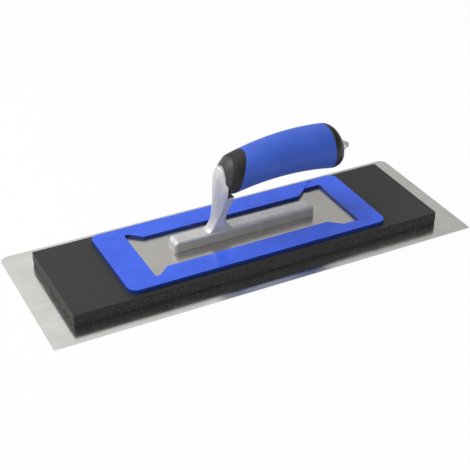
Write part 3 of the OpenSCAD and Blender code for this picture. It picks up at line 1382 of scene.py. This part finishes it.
class FinishShop:
    """Every finish, made once and shared."""

    def __init__(self) -> None:
        """Makes the materials."""
        self.blade = BrushedSteel("blade_brushed_steel", roughness=0.17).material()
        self.plate = BrushedSteel(
            "plate_brushed_steel", (0.66, 0.64, 0.60), (0.58, 0.56, 0.52), 0.24, line_depth_mm=0.0015
        ).material()
        self.foam = CutFoam("cut_foam").material()
        self.sheet = MouldedPlastic(
            "black_board", (0.02, 0.02, 0.0215), (0.06, 0.06, 0.06), 0.5, ripple_mm=0.03, scuffs=0.12
        ).material()
        # The frame's upright sides get painted shade.
        self.frame = MouldedPlastic(
            "blue_gloss", (0.042, 0.13, 0.86), (0.06, 0.17, 0.9), roughness=0.15, ripple_mm=0.006,
            specular=0.4, painted_side_shade=0.9
        ).material()
        self.cast = CastAlloy("tumbled_casting").material()
        self.ferrule = MouldedPlastic(
            "ferrule_black", (0.035, 0.035, 0.038), (0.07, 0.07, 0.07), 0.36, ripple_mm=0.02, scuffs=0.1
        ).material()
        # The band and the grip get painted shade on their undersides.
        self.band = SoftRubber(
            "band_black", (0.012, 0.012, 0.013), (0.05, 0.05, 0.05), roughness=0.5
        ).material()
        self.grip = SoftRubber("grip_blue", (0.045, 0.13, 0.66), (0.08, 0.18, 0.75)).material()
        self.cap = MouldedPlastic(
            "cap_black", (0.02, 0.02, 0.022), (0.06, 0.06, 0.06), roughness=0.4, ripple_mm=0.02
        ).material()
        self.plated = CastAlloy("zinc_plate", (0.75, 0.75, 0.74), (0.6, 0.6, 0.58), 0.28, 0.3).material()
        self.core = MouldedPlastic(
            "core_black", (0.03, 0.03, 0.032), (0.06, 0.06, 0.06), roughness=0.45
        ).material()


def dress_kept_nodes(shop: FinishShop) -> None:
    """Gives the CAD nodes that stay their finish: the handle's core and the rivets.

    Args:
        shop: the finishes.
    """
    kept = {"handle_core": shop.core, "mounting_rivets": shop.plated}
    for name, finish in kept.items():
        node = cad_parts[name]
        for slot in node.material_slots:
            slot.link = "OBJECT"
            slot.material = finish
        LOG.info("%s: CAD node kept", name)


# ---- Studio


@dataclass
class Studio:
    """Pale floor, soft lamps and the camera, in metres and degrees."""

    azimuth: float = -27.46
    elevation: float = 32.68
    roll: float = 0.46
    distance: float = 0.89337
    aim: Point3 = (0.00201, 0.01242, 0.0)
    focal_mm: float = 85.14
    floor_size: float = 8.0
    floor_colour: Colour = (0.92, 0.92, 0.92)
    floor_white: float = 0.9
    bright_side: Point3 = (-0.75, 0.3, 0.6)

    def camera(self) -> None:
        """Sets the scene's camera on its orbit round the aim point."""
        turn, rise = math.radians(self.azimuth), math.radians(self.elevation)
        back = Vector((math.sin(turn) * math.cos(rise), -math.cos(turn) * math.cos(rise), math.sin(rise)))
        right = Vector((0.0, 0.0, 1.0)).cross(back).normalized()
        up = back.cross(right)
        basis = Matrix((right, up, back)).transposed().to_4x4()
        data = bpy.data.cameras.new("camera")
        data.lens = self.focal_mm
        data.sensor_width = 36.0
        data.clip_end = 50.0
        obj = bpy.data.objects.new("camera", data)
        place = Matrix.Translation(Vector(self.aim) + back * self.distance)
        obj.matrix_world = place @ basis @ Matrix.Rotation(math.radians(self.roll), 4, "Z")
        bpy.context.scene.collection.objects.link(obj)
        bpy.context.scene.camera = obj

    @staticmethod
    def part_by_eye(
        work: Wiring, lit: Socket, shown: Socket, out: bpy.types.Node, share: float = 1.0
    ) -> None:
        """Sends one shader to the camera and another to all other rays.

        Args:
            work: the tree that holds the nodes.
            lit: the shader for all other rays.
            shown: the shader for the camera.
            out: the tree's output node.
            share: how much of the second one the camera sees.
        """
        eye = work.add("LightPath").outputs["Is Camera Ray"]
        if share < 1.0:
            partly = work.add("Math")
            partly.operation = "MULTIPLY"
            partly.inputs[1].default_value = share
            work.links.new(eye, partly.inputs[0])
            eye = partly.outputs["Value"]
        mixed = work.add("MixShader")
        for source, socket in zip((eye, lit, shown), mixed.inputs):
            work.links.new(source, socket)
        work.links.new(mixed.outputs["Shader"], out.inputs["Surface"])

    def floor(self) -> None:
        """A white floor that shows a faint shadow."""
        half = self.floor_size / 2 / MM
        corners = [(x * half, y * half, -0.05) for x, y in ((-1, -1), (1, -1), (1, 1), (-1, 1))]
        obj = store("studio_floor", corners, [[0, 1, 2, 3]], smooth=False)
        finish = bpy.data.materials.new("floor_white")
        finish.use_nodes = True
        work = Wiring(finish.node_tree)
        work.nodes.clear()
        paint = work.add("BsdfDiffuse", Color=(*self.floor_colour, 1.0))
        glow = work.add("Emission", Strength=1.0)
        out = work.add("OutputMaterial")
        self.part_by_eye(work, paint.outputs[0], glow.outputs[0], out, self.floor_white)
        obj.data.materials.append(finish)

    def sky(self) -> None:
        """White to the camera; a soft room, brighter to the left, for light and reflections."""
        world = bpy.data.worlds.new("studio")
        world.use_nodes = True
        bpy.context.scene.world = world
        work = Wiring(world.node_tree)
        work.nodes.clear()
        place = work.add("TexCoord")
        slope = work.add("VectorMath")
        slope.operation = "DOT_PRODUCT"
        slope.inputs[1].default_value = Vector(self.bright_side).normalized()
        shade = work.add("MapRange", From_Min=-0.4, From_Max=0.75, To_Min=0.08, To_Max=1.0)
        room = work.add("Background")
        plain = work.add("Background", Color=(1.0, 1.0, 1.0, 1.0))
        out = work.add("OutputWorld")
        work.links.new(place.outputs["Generated"], slope.inputs[0])
        work.links.new(slope.outputs["Value"], shade.inputs["Value"])
        work.links.new(shade.outputs["Result"], room.inputs["Color"])
        self.part_by_eye(work, room.outputs[0], plain.outputs[0], out)

    def lamp(self, name: str, place: Point3, size: float, watts: float) -> None:
        """Adds one square soft lamp that faces the object.

        Args:
            name: its name.
            place: where it stands; it faces the origin.
            size: length of its side.
            watts: its power.
        """
        data = bpy.data.lights.new(name, "AREA")
        data.shape = "SQUARE"
        data.size = size
        data.energy = watts
        obj = bpy.data.objects.new(name, data)
        obj.location = place
        obj.rotation_euler = Vector(place).to_track_quat("Z", "Y").to_euler()
        bpy.context.scene.collection.objects.link(obj)

    def build(self) -> None:
        """Sets up the camera, floor and light."""
        self.camera()
        self.floor()
        self.sky()
        self.lamp("key", (-0.7, 0.35, 1.3), 0.9, 9.0)
        bpy.context.scene.view_settings.view_transform = "Standard"


def main() -> None:
    """Builds the studio and every piece, in order."""
    logging.basicConfig(level=logging.INFO, format="%(message)s")
    Studio().build()
    shop = FinishShop()
    head = BladeHead()
    head.build(shop)
    HandlePlate(head).build(shop)
    Handle().build(shop)
    dress_kept_nodes(shop)


if __name__ == "__main__":
    main()
